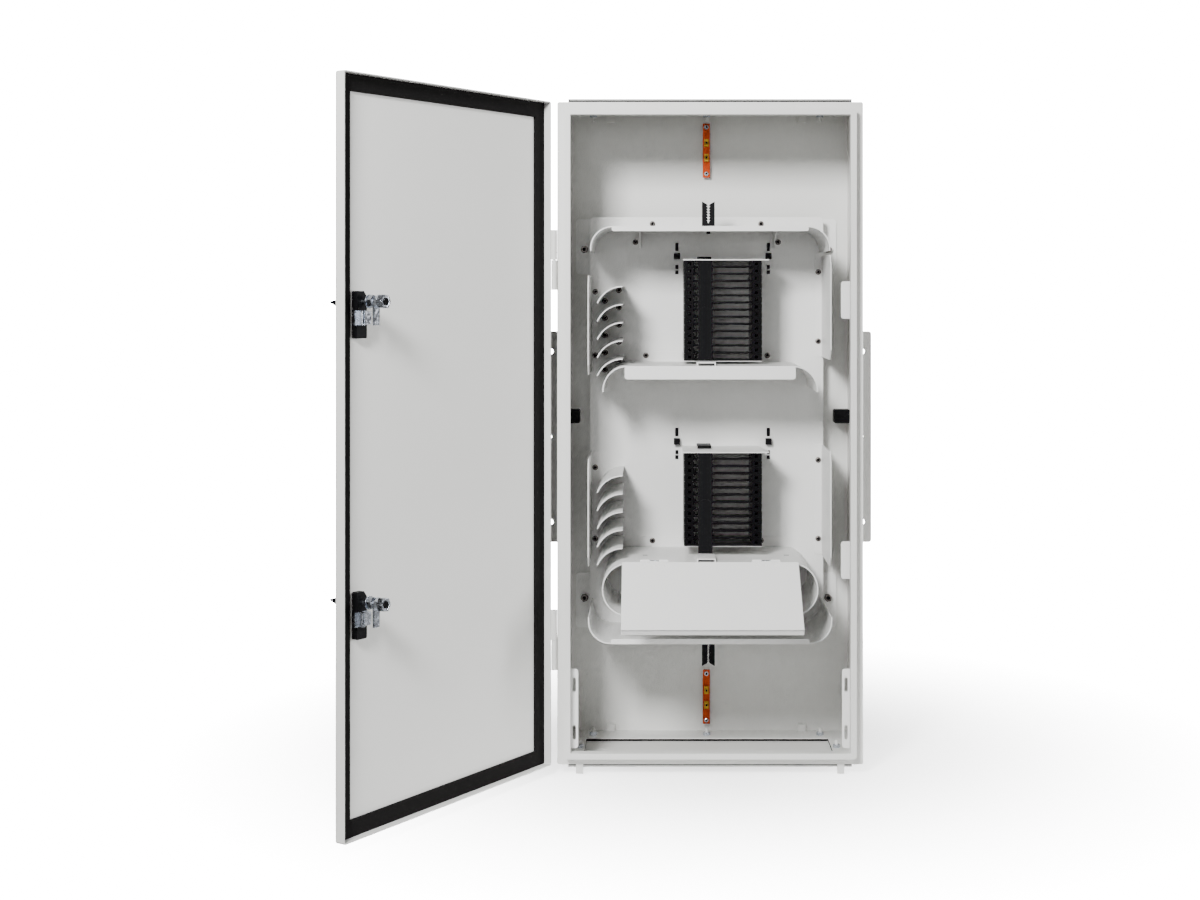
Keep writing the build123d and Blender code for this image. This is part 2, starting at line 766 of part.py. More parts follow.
def cover_hinge_leaf(x):
    """Leaf on the drum top with two knuckles outside the cover's own."""
    third = COVER_HINGE_W / 6
    leaf = block(x - COVER_HINGE_W / 2, x + COVER_HINGE_W / 2, cover_axis_y + 1,
                 cover_axis_y + 1 + COVER_LEAF_W, DRUM_Z, DRUM_Z + COVER_LEAF_T)
    notch = block(x - third, x + third, cover_axis_y - COVER_KNUCKLE_D,
                  cover_axis_y + COVER_KNUCKLE_D / 2 + 0.6, DRUM_Z - 1,
                  DRUM_Z + COVER_KNUCKLE_D)
    leaf -= notch
    leaf += cover_knuckle(x - COVER_HINGE_W / 2, x - third)
    leaf += cover_knuckle(x + third, x + COVER_HINGE_W / 2)
    return leaf - cover_rod(x - COVER_HINGE_W, x + COVER_HINGE_W, COVER_PIN_D)


def cover_pin(x):
    return cover_rod(x - COVER_HINGE_W / 2, x + COVER_HINGE_W / 2, COVER_PIN_D)


def gusset(x):
    """Triangular stiffener between the chassis plate and the top shelf."""
    top = TOP_SHELF_Z - PRESS
    web_plane = Plane(origin=(x - PRESS / 2, 0, 0), x_dir=(0, 1, 0), z_dir=(1, 0, 0))
    outline = Polyline((chassis_y, top), (chassis_y - GUSSET_D, top),
                       (chassis_y - GUSSET_D, top - GUSSET_NOSE),
                       (chassis_y - GUSSET_NOSE, top - GUSSET_H),
                       (chassis_y, top - GUSSET_H), close=True)
    web = extrude(web_plane * make_face(outline), amount=PRESS)
    side = 1 if x < 0 else -1
    foot = block(x, x - side * GUSSET_FOOT, chassis_y, chassis_y - PRESS, top - GUSSET_H, top)
    return web + foot


def bend_finger(top):
    """Curved rest that keeps fibres above their least bend radius."""
    root = FINGER_IN - chassis_x
    centre = (root, top - FINGER_R)
    outer = CenterArc(centre, FINGER_R, 90, FINGER_SWEEP)
    inner = CenterArc(centre, FINGER_R - PRESS, 90, FINGER_SWEEP)
    outline = make_face([outer, inner, Line(outer @ 0, inner @ 0), Line(outer @ 1, inner @ 1)])
    finger = slab(outline, chassis_y, -FINGER_FRONT)
    under = slab(Pos(*centre) * Circle(FINGER_R - PRESS / 2), chassis_y, chassis_y - PRESS)
    for x, drop in FINGER_TABS:
        low = top - drop - FINGER_TAB_H
        finger += under & block(root + x - FINGER_TAB_W / 2, root + x + FINGER_TAB_W / 2,
                                chassis_y, chassis_y - PRESS, low, top)
    return finger


def side_guard(side, top, bottom):
    """Angle strip: a foot on the chassis plate and a fence with chamfered ends."""
    x = side * (chassis_x - GUARD_IN)
    fence_plane = Plane(origin=(x, 0, 0), x_dir=(0, 1, 0), z_dir=(-side, 0, 0))
    y0 = chassis_y
    y1 = -GUARD_FRONT
    c = GUARD_CHAMFER
    sign = -side
    outline = Polyline((y0, sign * top), (y1 + c, sign * top), (y1, sign * (top - c)),
                       (y1, sign * (bottom + c)), (y1 + c, sign * bottom),
                       (y0, sign * bottom), close=True)
    fence = extrude(fence_plane * make_face(outline), amount=PRESS)
    foot = block(x, x - side * GUARD_FOOT, y0, y0 - PRESS, bottom, top)
    return fence + foot


def stack_base(i):
    return RACK_TOPS[i] - RACK_T - TRAY_COUNTS[i] * TRAY_PITCH


def tray(i, n):
    """Splice tray: two end blocks with stacking feet, a front floor and its rim."""
    z0 = stack_base(i) + n * TRAY_PITCH
    x0 = TRAY_X - TRAY_W / 2
    x1 = TRAY_X + TRAY_W / 2
    y0 = -TRAY_FRONT
    y1 = y0 + TRAY_DEPTH
    solid = block(x0 + TRAY_END, x1 - TRAY_END, y0, y0 + TRAY_FLOOR_D, z0, z0 + TRAY_FLOOR_T)
    solid += block(x0 + TRAY_END, x1 - TRAY_END, y0, y0 + TRAY_RIM_T, z0, z0 + TRAY_RIM_H)
    for a, s in ((x0, 1), (x1, -1)):
        end = block(a, a + s * TRAY_END, y0, y1, z0, z0 + TRAY_END_H)
        end += block(a + s * 2, a + s * (TRAY_END - 2), y0 + 8, y1 - 8, z0 + TRAY_END_H,
                     z0 + TRAY_PITCH - TRAY_REST)
        solid += end
    return solid


def tray_rack(i):
    """Folded rack: back plate on the chassis, base under the trays and a wide top plate."""
    base = stack_base(i)
    top = RACK_TOPS[i]
    x0 = TRAY_X - TRAY_W / 2 - RACK_WIDE_LEFT
    x1 = TRAY_X + TRAY_W / 2 + RACK_WIDE_RIGHT
    x2 = TRAY_X + TRAY_W / 2
    front = -TRAY_FRONT - RACK_NOSE
    plan = Polyline((x0, chassis_y), (x0, front), (x1, front), (x1, front + RACK_CUT),
                    (x2, chassis_y), close=True)
    lid = extrude(Plane.XY.offset(top - RACK_T) * make_face(plan), amount=RACK_T)
    slot_y = front + RACK_SLOT_IN
    lid -= block(STRAP_X - STRAP_W / 2 - 0.5, STRAP_X + STRAP_W / 2 + 0.5,
                 slot_y, slot_y + RACK_SLOT_D, top - 3, top + 1)
    back = block(x0 + RACK_WIDE_LEFT, x2, chassis_y, chassis_y - RACK_T, base - RACK_T, top)
    foot = block(x0 + RACK_WIDE_LEFT, x2, chassis_y, -TRAY_FRONT + 2, base - RACK_T, base)
    return lid + back + foot


def rack_clips(i):
    """Black snap clips that hold the rack's top to the chassis slots."""
    z = RACK_TOPS[i] + CLIP_DROP
    return [block(x - CLIP_SIDE / 2, x + CLIP_SIDE / 2, chassis_y, chassis_y - CLIP_T,
                  z, z + CLIP_SIDE) for x in SLOT_X]


def strap(i):
    """Hook-and-loop strap: tucked under the rack's top, down the trays, with a folded tail."""
    top = RACK_TOPS[i] - RACK_T - STRAP_CLEAR
    bottom = MID_SHELF_Z if i == 0 else DRUM_Z
    end = bottom + BRIDGE_H + STRAP_CLEAR
    y1 = -TRAY_FRONT - STRAP_CLEAR
    y0 = y1 - STRAP_T
    x0 = STRAP_X - STRAP_W / 2
    x1 = STRAP_X + STRAP_W / 2
    band = block(x0, x1, y0, y1, end, top)
    band += block(x0, x1, y0, y0 + STRAP_BACK, top - STRAP_T, top)
    tail_top = end + STRAP_TAIL - STRAP_W / 2
    tail = Rectangle(STRAP_W, STRAP_TAIL - STRAP_W / 2)
    tail_shape = (Pos(STRAP_X, end + (STRAP_TAIL - STRAP_W / 2) / 2) * tail
                  + Pos(STRAP_X, tail_top) * Circle(STRAP_W / 2))
    band += slab(tail_shape, y0, y0 - STRAP_T)
    return band


def cable_clamp(z, level):
    """Two-armed clamp standing on its shelf, with a centre slot and a bolt."""
    z1 = z + level * CLAMP_H
    arm = (CLAMP_W - CLAMP_SLOT) / 2
    clamp = block(-CLAMP_W / 2, CLAMP_W / 2, CLAMP_Y - CLAMP_D / 2, CLAMP_Y + CLAMP_D / 2,
                  z, z + level * CLAMP_BASE)
    for side in (-1, 1):
        x = side * CLAMP_W / 2
        clamp += block(x, x - side * arm, CLAMP_Y - CLAMP_D / 2, CLAMP_Y + CLAMP_D / 2, z, z1)
        for n in range(CLAMP_TEETH):
            zn = z + level * (CLAMP_BASE + CLAMP_TOOTH_START + n * CLAMP_TOOTH_PITCH)
            clamp -= block(x - side * arm, x - side * (arm - CLAMP_TOOTH_D),
                           CLAMP_Y - CLAMP_D, CLAMP_Y + CLAMP_D,
                           zn, zn + level * CLAMP_TOOTH_H)
    return clamp


def ground_bar(z):
    """Earthing bar on two short standoffs."""
    y1 = back_y - BAR_STANDOFF
    bar = block(-BAR_W / 2, BAR_W / 2, y1 - BAR_T, y1, z - BAR_LEN / 2, z + BAR_LEN / 2)
    for s in (-1, 1):
        bar += stud_y(0, z + s * BAR_SCREW_PITCH / 2, back_y, y1, BAR_W - 3)
    return bar


def ground_terminals():
    """Brass clamps on both bars, each with its cross screw."""
    blocks = []
    y1 = back_y - BAR_STANDOFF - BAR_T
    for z in bar_z:
        for s in (-1, 1):
            zc = z + s * TERMINAL_PITCH / 2
            lug = block(-TERMINAL_W / 2, TERMINAL_W / 2, y1 - TERMINAL_T, y1,
                        zc - TERMINAL_H / 2, zc + TERMINAL_H / 2)
            lug += stud_y(0, zc, y1 - TERMINAL_T, y1 - TERMINAL_T - TERMINAL_SCREW_H,
                          TERMINAL_SCREW_D)
            blocks.append(lug)
    return blocks


def wall_clip(side):
    x0 = side * inner_x
    x1 = side * (inner_x - WALL_CLIP_OUT)
    y0 = WALL_CLIP_Y - WALL_CLIP_D / 2
    y1 = WALL_CLIP_Y + WALL_CLIP_D / 2
    clip = block(x0, x1, y0, y1, CLIP_Z - WALL_CLIP_H / 2, CLIP_Z + WALL_CLIP_H / 2)
    clip = fillet(clip.edges().filter_by(Axis.Y), 3)
    return clip


def tie_bracket(side):
    """Slotted strip welded behind the front band for tying the cables."""
    x = side * (body_x - TIE_IN - TIE_W / 2)
    y1 = band_y + SHEET
    z = TIE_END + TIE_H / 2 - body_z
    outline = RectangleRounded(TIE_W, TIE_H, TIE_CORNER)
    slot = SlotCenterToCenter(TIE_SLOT_H - TIE_SLOT_W, TIE_SLOT_W, rotation=90)
    for s in (-1, 1):
        outline -= Pos(-side * (TIE_W / 2 - TIE_SLOT_IN), s * TIE_SLOT_OFF) * slot
    return slab(outline, y1 + SHEET, y1, x, z)


def screw(x, y, z):
    """Domed head seated on a surface that faces -Y."""
    head = stud_y(x, z, y, y - SCREW_H, SCREW_D)
    return fillet(head.edges().sort_by(Axis.Y)[0], SCREW_ROUND)


def panel_screws():
    """Screws that fix shelves, gussets, fingers and guards to the chassis plate."""
    face = chassis_y - PRESS
    places = []
    for side in (-1, 1):
        places.append((side * SHELF_SCREW_X, TOP_SHELF_Z + SHELF_SCREW_RISE))
        places.append((side * MID_SCREW_X, MID_SHELF_Z + SHELF_SCREW_RISE))
        places.append((side * SHELF_SCREW_X, DRUM_Z + SHELF_SCREW_RISE))
    for x in GUSSET_X:
        side = 1 if x < 0 else -1
        places.append((x - side * GUSSET_FOOT * 0.6, TOP_SHELF_Z - PRESS - GUSSET_SCREW_DROP))
    for top in FINGER_TOPS:
        for n in range(FINGER_COUNT):
            for x, drop in FINGER_TABS:
                places.append((FINGER_IN - chassis_x + x, top - n * FINGER_PITCH - drop
                               - FINGER_TAB_H + FINGER_SCREW_RISE))
    for side, (top, bottom) in guards.values():
        for z in (top - GUARD_SCREW_END, bottom + GUARD_SCREW_END):
            places.append((side * (chassis_x - GUARD_IN - GUARD_FOOT * 0.55), z))
    return [screw(x, face, z) for x, z in places]


def group(pieces):
    """Several separate solids in one node."""
    return Compound(children=list(pieces))


def add(name, shape):
    parts[name] = shape


add("cabinet_body", cabinet_body())
add("door_panel", swing * door_panel())
add("door_seal", swing * door_seal())
add("hinge_body_leaves", group(hinge_body_leaf(z) for z in HINGE_Z))
add("hinge_door_leaves", group(swing * hinge_door_leaf(z) for z in HINGE_Z))
add("hinge_pins", group(hinge_pin(z) for z in HINGE_Z))
for place, z in zip(("upper", "lower"), LATCH_Z):
    add(place + "_latch_housing", swing * latch_housing(z))
    add(place + "_latch_bracket", swing * latch_bracket(z))
    add(place + "_latch_shaft", swing * latch_shaft(z))
    add(place + "_latch_cam", swing * latch_cam(z))
    add(place + "_latch_nuts", group(swing * nut for nut in latch_nuts(z)))
    add(place + "_latch_handle", swing * latch_handle(z))
    add(place + "_strike", strike(z))
for place, level in (("top", 1), ("bottom", -1)):
    add(place + "_gland_plate", gland_plate(level))
    add(place + "_gland_seal", gland_seal(level))
add("gland_nuts", group(gland_nuts()))
for place, side in (("left", -1), ("right", 1)):
    add(place + "_mounting_wing", side_wing(side))
add("tie_brackets", group(tie_bracket(side) for side in (-1, 1)))
add("wall_clips", group(wall_clip(side) for side in (-1, 1)))
add("chassis_plate", chassis_plate())
add("chassis_nuts", group(chassis_nuts()))
add("top_shelf", top_shelf())
add("top_shelf_gussets", group(gusset(x) for x in GUSSET_X))
add("middle_shelf", middle_shelf())
add("drum_upper_half", drum_half(True))
add("drum_lower_half", drum_half(False))
add("drum_cover", lift * drum_cover())
add("cover_hinge_leaves", group(cover_hinge_leaf(x) for x in (-COVER_HINGE_X, COVER_HINGE_X)))
add("cover_hinge_pins", group(cover_pin(x) for x in (-COVER_HINGE_X, COVER_HINGE_X)))
add("slack_cradle", cradle())
for i, place in enumerate(("upper", "lower")):
    tops = [FINGER_TOPS[i] - n * FINGER_PITCH for n in range(FINGER_COUNT)]
    add(place + "_bend_fingers", group(bend_finger(top) for top in tops))
    add(place + "_tray_rack", tray_rack(i))
    add(place + "_splice_trays", group(tray(i, n) for n in range(TRAY_COUNTS[i])))
    add(place + "_tray_strap", strap(i))
    add(place + "_ground_bar", ground_bar(bar_z[i]))
add("rack_clips", group(rack_clips(0) + rack_clips(1)))
for name, (side, (top, bottom)) in guards.items():
    add(name, side_guard(side, top, bottom))
add("upper_cable_clamp", cable_clamp(TOP_SHELF_Z, 1))
add("lower_cable_clamp", cable_clamp(CRADLE_Z, -1))
add("ground_terminals", group(ground_terminals()))
add("panel_screws", group(panel_screws()))

for name, shape in parts.items():
    export_step(shape, f"parts/{name}.step")
print(len(parts), "nodes")
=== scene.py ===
import json
import math

import bmesh
import bpy
from mathutils import Matrix, Vector


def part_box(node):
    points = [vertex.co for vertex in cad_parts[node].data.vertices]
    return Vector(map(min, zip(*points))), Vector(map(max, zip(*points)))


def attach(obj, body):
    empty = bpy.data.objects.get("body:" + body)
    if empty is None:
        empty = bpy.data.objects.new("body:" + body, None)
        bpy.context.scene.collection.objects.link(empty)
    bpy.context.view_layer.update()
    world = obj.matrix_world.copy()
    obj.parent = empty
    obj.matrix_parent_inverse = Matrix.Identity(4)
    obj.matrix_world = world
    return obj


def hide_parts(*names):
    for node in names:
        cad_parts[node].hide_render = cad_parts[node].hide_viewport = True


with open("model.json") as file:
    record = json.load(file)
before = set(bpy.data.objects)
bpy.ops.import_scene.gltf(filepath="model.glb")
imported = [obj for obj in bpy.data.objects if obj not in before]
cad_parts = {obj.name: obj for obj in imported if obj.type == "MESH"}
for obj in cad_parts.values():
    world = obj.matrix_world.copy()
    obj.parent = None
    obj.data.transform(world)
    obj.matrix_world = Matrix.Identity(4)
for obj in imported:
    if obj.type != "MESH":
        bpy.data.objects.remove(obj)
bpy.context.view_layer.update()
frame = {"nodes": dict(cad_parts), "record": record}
nodes = frame["nodes"]


# Materials. Pattern sizes are in millimetres.

# Orange peel of a baked powder coat, lump to lump
PEEL = 1.613
# Slow change of gloss over a coated panel
HAZE = 71.43
# Crystals of a plating are too fine to see, so this is the cloudiness that the eye does see
PLATING_CLOUD = 3.846
# Rolling marks of flat bar, finer than the clouds on plating
ROLLED_CLOUD = 2.381
# Spark-eroded grain is about 0.1 mm across, drawn ten times coarser so that it shows
MOULD_GRAIN = 1.111
# Ripple that a thin moulded wall shows along its edges
THIN_WALL_RIPPLE = 3.333
# Foam cells are about 0.3 mm across, drawn twice as coarse so that they show
FOAM_CELL = 0.6667
# Thread spacing of heavy webbing
THREAD = 1.2083


def linear(code):
    """Turns an sRGB hex colour into linear RGBA."""
    values = [int(code[i:i + 2], 16) / 255 for i in (0, 2, 4)]
    return tuple(v / 12.92 if v <= 0.04045 else ((v + 0.055) / 1.055) ** 2.4
                 for v in values) + (1.0,)


def add_node(owner, kind, links=(), **settings):
    """Adds a node with its settings, and feeds its inputs from (socket, input) pairs."""
    node = owner.node_tree.nodes.new(kind)
    for key, value in settings.items():
        name = key.replace("_", " ")
        if name in node.inputs:
            node.inputs[name].default_value = value
        else:
            setattr(node, key, value)
    for socket, name in links:
        owner.node_tree.links.new(socket, node.inputs[name])
    return node


def surface(name, code, roughness, **settings):
    """Starts a material, and gives it with its shader and the piece's own coordinates."""
    mat = bpy.data.materials.new(name)
    mat.use_nodes = True
    shader = mat.node_tree.nodes["Principled BSDF"]
    shader.inputs["Base Color"].default_value = linear(code)
    shader.inputs["Roughness"].default_value = roughness
    for key, value in settings.items():
        shader.inputs[key.replace("_", " ")].default_value = value
    coordinates = add_node(mat, "ShaderNodeTexCoord")
    return mat, shader, coordinates.outputs["Object"]


def lumps(size):
    """Noise scale that gives lumps of a real size."""
    return 1000 / size


def threads(spacing):
    """Wave scale that gives bands at a real spacing, as a wave turns 20 radians per unit."""
    return 1000 * math.tau / (20 * spacing)


def powder_coat(name, code, roughness):
    """Polyester powder baked on steel sheet: an even satin with orange peel in its highlights."""
    mat, shader, place = surface(name, code, roughness, IOR=1.5)
    join = mat.node_tree.links.new
    peel = add_node(mat, "ShaderNodeTexNoise", [(place, "Vector")], Scale=lumps(PEEL), Detail=2.0)
    relief = add_node(mat, "ShaderNodeBump", [(peel.outputs["Fac"], "Height")], Strength=0.12,
                      Distance=0.0004)
    join(relief.outputs["Normal"], shader.inputs["Normal"])
    haze = add_node(mat, "ShaderNodeTexNoise", [(place, "Vector")], Scale=lumps(HAZE), Detail=3.0)
    gloss = add_node(mat, "ShaderNodeMapRange", [(haze.outputs["Fac"], "Value")], From_Min=0.3,
                     From_Max=0.7, To_Min=roughness - 0.05, To_Max=roughness + 0.07)
    join(gloss.outputs["Result"], shader.inputs["Roughness"])
    return mat


def bare_metal(name, code, roughness, cloud=PLATING_CLOUD):
    """Plated or rolled metal: bright, with a cloudy sheen that breaks up its reflections."""
    mat, shader, place = surface(name, code, roughness, Metallic=1.0)
    join = mat.node_tree.links.new
    sheen = add_node(mat, "ShaderNodeTexNoise", [(place, "Vector")], Scale=lumps(cloud),
                     Detail=4.0)
    gloss = add_node(mat, "ShaderNodeMapRange", [(sheen.outputs["Fac"], "Value")], From_Min=0.3,
                     From_Max=0.7, To_Min=roughness - 0.08, To_Max=roughness + 0.12)
    join(gloss.outputs["Result"], shader.inputs["Roughness"])
    relief = add_node(mat, "ShaderNodeBump", [(sheen.outputs["Fac"], "Height")], Strength=0.04,
                      Distance=0.0001)
    join(relief.outputs["Normal"], shader.inputs["Normal"])
    return mat


def moulded(name, code, roughness, grain=MOULD_GRAIN):
    """Plastic from a grained mould: deep black with a low, broken highlight."""
    mat, shader, place = surface(name, code, roughness, IOR=1.5, Specular_IOR_Level=0.07)
    pits = add_node(mat, "ShaderNodeTexNoise", [(place, "Vector")], Scale=lumps(grain),
                    Detail=3.0)
    relief = add_node(mat, "ShaderNodeBump", [(pits.outputs["Fac"], "Height")], Strength=0.18,
                      Distance=0.0003)
    mat.node_tree.links.new(relief.outputs["Normal"], shader.inputs["Normal"])
    return mat


def webbing(name, code):
    """Woven nylon hook-and-loop strap: matt, with a faint bloom from its nap."""
    mat, shader, place = surface(name, code, 0.92, IOR=1.5, Specular_IOR_Level=0.1,
                                 Sheen_Weight=0.12, Sheen_Roughness=0.5)
    warp = add_node(mat, "ShaderNodeTexWave", [(place, "Vector")], bands_direction="X",
                    Scale=threads(THREAD), Distortion=0.6)
    weft = add_node(mat, "ShaderNodeTexWave", [(place, "Vector")], bands_direction="Z",
                    Scale=threads(THREAD), Distortion=0.6)
    weave = add_node(mat, "ShaderNodeMath", [(warp.outputs["Fac"], 0), (weft.outputs["Fac"], 1)],
                     operation="MULTIPLY")
    relief = add_node(mat, "ShaderNodeBump", [(weave.outputs["Value"], "Height")], Strength=0.5,
                      Distance=0.0005)
    mat.node_tree.links.new(relief.outputs["Normal"], shader.inputs["Normal"])
    return mat


FINISH = {
    # Powder-coated steel sheet of the shell and door: satin light grey
    "grey_powder_coat": powder_coat("grey_powder_coat", "D2D2CF", 0.42),
    # Powder-coated steel sheet of the fittings inside: a little paler and smoother
    "white_powder_coat": powder_coat("white_powder_coat", "DCDCDA", 0.40),
    # Poured foam seal: dead matt, a warm black
    "seal_foam": moulded("poured_black_foam", "131212", 0.85, FOAM_CELL),
    # Injection-moulded nylon of clips, clamps and latch housings: black with a soft highlight
    "black_plastic": moulded("moulded_black_nylon", "0B0B0D", 0.42),
    # Injection-moulded ABS of the splice trays: a sharper highlight along thin edges
    "tray_plastic": moulded("moulded_black_abs", "070708", 0.30, THIN_WALL_RIPPLE),
    # Hook-and-loop webbing: matt black
    "strap_fabric": webbing("woven_nylon_webbing", "0C0C0E"),
    # Bright zinc plate on steel: cool and mirror-like
    "zinc_plate": bare_metal("bright_zinc_plate", "C4C9D2", 0.22),
    # Plain copper bar: warm red-brown, half bright
    "copper_bar": bare_metal("rolled_copper", "9C3B1B", 0.40, ROLLED_CLOUD),
    # Plain brass: yellow, half bright
    "brass": bare_metal("plain_brass", "A8842F", 0.38),
}
# Zinc plate gone dull: screws and nuts that look darker than the panel they hold
DULL_ZINC = bare_metal("dull_zinc_plate", "6A6663", 0.4)
# Painted shade: black for the depth of a screw's socket and the end of a nut's thread, as no light
# reaches them
SOCKET_PAINTED_SHADE = moulded("painted_shade_socket", "0A0A0B", 0.8)

SLOT_OF = {part["node"]: part["material_slot"] for part in frame["record"]["subparts"]}

# Sheets whose folds catch a thin line of light
FOLDED_SHEETS = ("door_panel", "cabinet_body", "middle_shelf", "top_shelf", "slack_cradle",
                 "drum_upper_half", "drum_lower_half", "chassis_plate")
FOLD_ROUNDING = 0.4

for name, node in nodes.items():
    node.data.materials.clear()
    node.data.materials.append(FINISH[SLOT_OF[name]])
    if name in FOLDED_SHEETS:
        fold = node.modifiers.new("edges", "BEVEL")
        fold.width = FOLD_ROUNDING / 1000
        fold.segments = 2
        fold.angle_limit = math.radians(50)


# Shapes. New pieces are drawn in millimetres of the shared frame.

# Vertices closer than this are one
WELD = 0.0001
# Places of the painted shade finish and the dull finish in a piece's list of finishes
PAINTED_SHADE, DULL = 1, 2

# A pan head: widths in shares of its radius, depths in shares of its height
HEAD_SIDES = 18
HEAD_WALL = 0.45
HEAD_SHOULDER, HEAD_SHOULDER_AT = 0.86, 0.82
HEAD_FLAT = 0.62
SOCKET_MOUTH, SOCKET_FLOOR = 0.52, 0.46
SOCKET_DEEP, SOCKET_TIP = 0.6, 0.9
# A nut: widths in shares of its corner radius, the chamfer in shares of its width across flats
NUT_FACE, NUT_MOUTH, NUT_THREAD = 0.88, 0.55, 0.5
NUT_CHAMFER = 0.06


def give_finish(verts, finish):
    """Gives the faces of a new shape one of its piece's finishes."""
    for face in {face for vert in verts for face in vert.link_faces}:
        face.material_index = finish


def block(piece, x, y, z, finish=0):
    """Adds a box between two places on each axis."""
    low, high = map(Vector, zip(x, y, z))
    stretch = Matrix.Diagonal((*(high - low), 1.0))
    made = bmesh.ops.create_cube(piece, size=1.0,
                                 matrix=Matrix.Translation((low + high) / 2) @ stretch)
    give_finish(made["verts"], finish)


def plate(piece, outline, front, back, finish=0):
    """Adds an (x, z) outline, extruded from its front face to its back face."""
    rim = [piece.verts.new((x, front, z)) for x, z in outline]
    grown = bmesh.ops.extrude_face_region(piece, geom=[piece.faces.new(rim)])["geom"]
    far = [part for part in grown if isinstance(part, bmesh.types.BMVert)]
    bmesh.ops.translate(piece, vec=(0, back - front, 0), verts=far)
    give_finish(rim + far, finish)


def turned(piece, x, z, profile, sides, turn=0.0, finish=0):
    """Adds (radius, y) points spun about a line along Y, and gives their vertices."""
    before = set(piece.verts)
    line = [piece.verts.new((x + r * math.cos(turn), y, z + r * math.sin(turn)))
            for r, y in profile]
    edges = [piece.edges.new(ends) for ends in zip(line, line[1:])]
    bmesh.ops.spin(piece, geom=line + edges, cent=(x, 0, z), axis=(0, 1, 0), angle=math.tau,
                   steps=sides, use_merge=True)
    spun = [vert for vert in piece.verts if vert not in before]
    bmesh.ops.remove_doubles(piece, verts=spun, dist=WELD)
    spun = [vert for vert in piece.verts if vert not in before]
    give_finish(spun, finish)
    return spun


def half_round(x, z, radius, steps):
    """Points of a half circle that bulges upwards, from its right end to its left end."""
    return [(x + radius * math.cos(a), z + radius * math.sin(a))
            for a in [math.pi * k / steps for k in range(steps + 1)]]


def disc(piece, x, z, radius, y, sides):
    """Adds a round bar or washer between two places along Y."""
    turned(piece, x, z, [(0, y[0]), (radius, y[0]), (radius, y[1]), (0, y[1])], sides)


def pan_head(piece, x, z, base, radius, height, finish=0):
    """Adds a domed screw head whose socket is painted black as shade, standing to the front of a
    face.
    """
    top = base - height
    lip = (radius * SOCKET_MOUTH, top)
    dome = turned(piece, x, z,
                  [(0, base), (radius, base), (radius, base - height * HEAD_WALL),
                   (radius * HEAD_SHOULDER, base - height * HEAD_SHOULDER_AT),
                   (radius * HEAD_FLAT, top), lip], HEAD_SIDES, finish=finish)
    socket = turned(piece, x, z,
                    [lip, (radius * SOCKET_FLOOR, top + height * SOCKET_DEEP),
                     (0, top + height * SOCKET_TIP)], HEAD_SIDES, finish=PAINTED_SHADE)
    bmesh.ops.remove_doubles(piece, verts=dome + socket, dist=WELD)


def hexagon_nut(piece, x, z, back, front, across, turn=0.0, finish=0):
    """Adds a nut with turned corners, and the end of its thread painted black as shade."""
    corner = across / math.sqrt(3)
    chamfer = across * NUT_CHAMFER
    mouth = (corner * NUT_MOUTH, front)
    end = front + chamfer * 2
    body = turned(piece, x, z,
                  [(0, back), (corner * NUT_FACE, back), (corner, back - chamfer),
                   (corner, front + chamfer), (corner * NUT_FACE, front), mouth],
                  6, turn, finish)
    thread = turned(piece, x, z, [mouth, (corner * NUT_THREAD, end), (0, end)], 6, turn, PAINTED_SHADE)
    bmesh.ops.remove_doubles(piece, verts=body + thread, dist=WELD)


def settled_mesh(name, piece):
    """Copies a drawn piece in an order of places, as the operators' own varies from run to run."""
    def spot(vert):
        around = sum((face.calc_center_median() for face in vert.link_faces), Vector())
        return [round(c, 3) for c in (*vert.co, *around)]

    verts = sorted(piece.verts, key=spot)
    for rank, vert in enumerate(verts):
        vert.index = rank
    rings = []
    for face in piece.faces:
        ring = [vert.index for vert in face.verts]
        start = ring.index(min(ring))
        rings.append((ring[start:] + ring[:start], face.material_index))
    rings.sort()
    mesh = bpy.data.meshes.new(name)
    mesh.from_pydata([vert.co / 1000 for vert in verts], [], [ring for ring, _ in rings])
    mesh.polygons.foreach_set("material_index", [finish for _, finish in rings])
    mesh.update()
    return mesh


def fit(piece, name, body, slot, stands_for=(), finishes=(), edge=0.0, place=Matrix()):
    """Makes a drawn piece an object in metres, on its body and in place of its stand-ins."""
    bmesh.ops.recalc_face_normals(piece, faces=piece.faces)
    bmesh.ops.transform(piece, matrix=place, verts=piece.verts)
    mesh = settled_mesh(name, piece)
    piece.free()
    for finish in (FINISH[slot], *finishes):
        mesh.materials.append(finish)
    obj = bpy.data.objects.new(name, mesh)
    bpy.context.scene.collection.objects.link(obj)
    if edge:
        rounded = obj.modifiers.new("edges", "BEVEL")
        rounded.width = edge / 1000
        rounded.segments = 2
        rounded.angle_limit = math.radians(40)
    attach(obj, body)
    if stands_for:
        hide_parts(*stands_for)


def swing(axis_point, degrees, axis):
    """Turn about a hinge line through a point."""
    return (Matrix.Translation(axis_point) @ Matrix.Rotation(math.radians(degrees), 4, axis)
            @ Matrix.Translation(-axis_point))


def corners(points):
    """Lowest and highest corner of a group of points."""
    return Vector(map(min, zip(*points))), Vector(map(max, zip(*points)))


def node_box(node_name):
    """Lowest and highest corner of a CAD node."""
    return [Vector(corner) * 1000 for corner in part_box(node_name)]


def loose_solids(node_name):
    """Lowest and highest corner of each solid in a CAD node."""
    node = nodes[node_name]
    copy = bmesh.new()
    copy.from_mesh(node.data)
    bmesh.ops.transform(copy, matrix=Matrix.Scale(1000, 4) @ node.matrix_world,
                        verts=copy.verts)
    bmesh.ops.remove_doubles(copy, verts=copy.verts, dist=0.01)
    boxes = []
    waiting = set(copy.verts)
    for seed in list(copy.verts):
        if seed not in waiting:
            continue
        waiting.remove(seed)
        reached = [seed]
        # The list grows while it is walked
        for vert in reached:
            for edge in vert.link_edges:
                near = edge.other_vert(vert)
                if near in waiting:
                    waiting.remove(near)
                    reached.append(near)
        boxes.append(corners([vert.co for vert in reached]))
    copy.free()
    return boxes


# Screws and nuts of the chassis plate

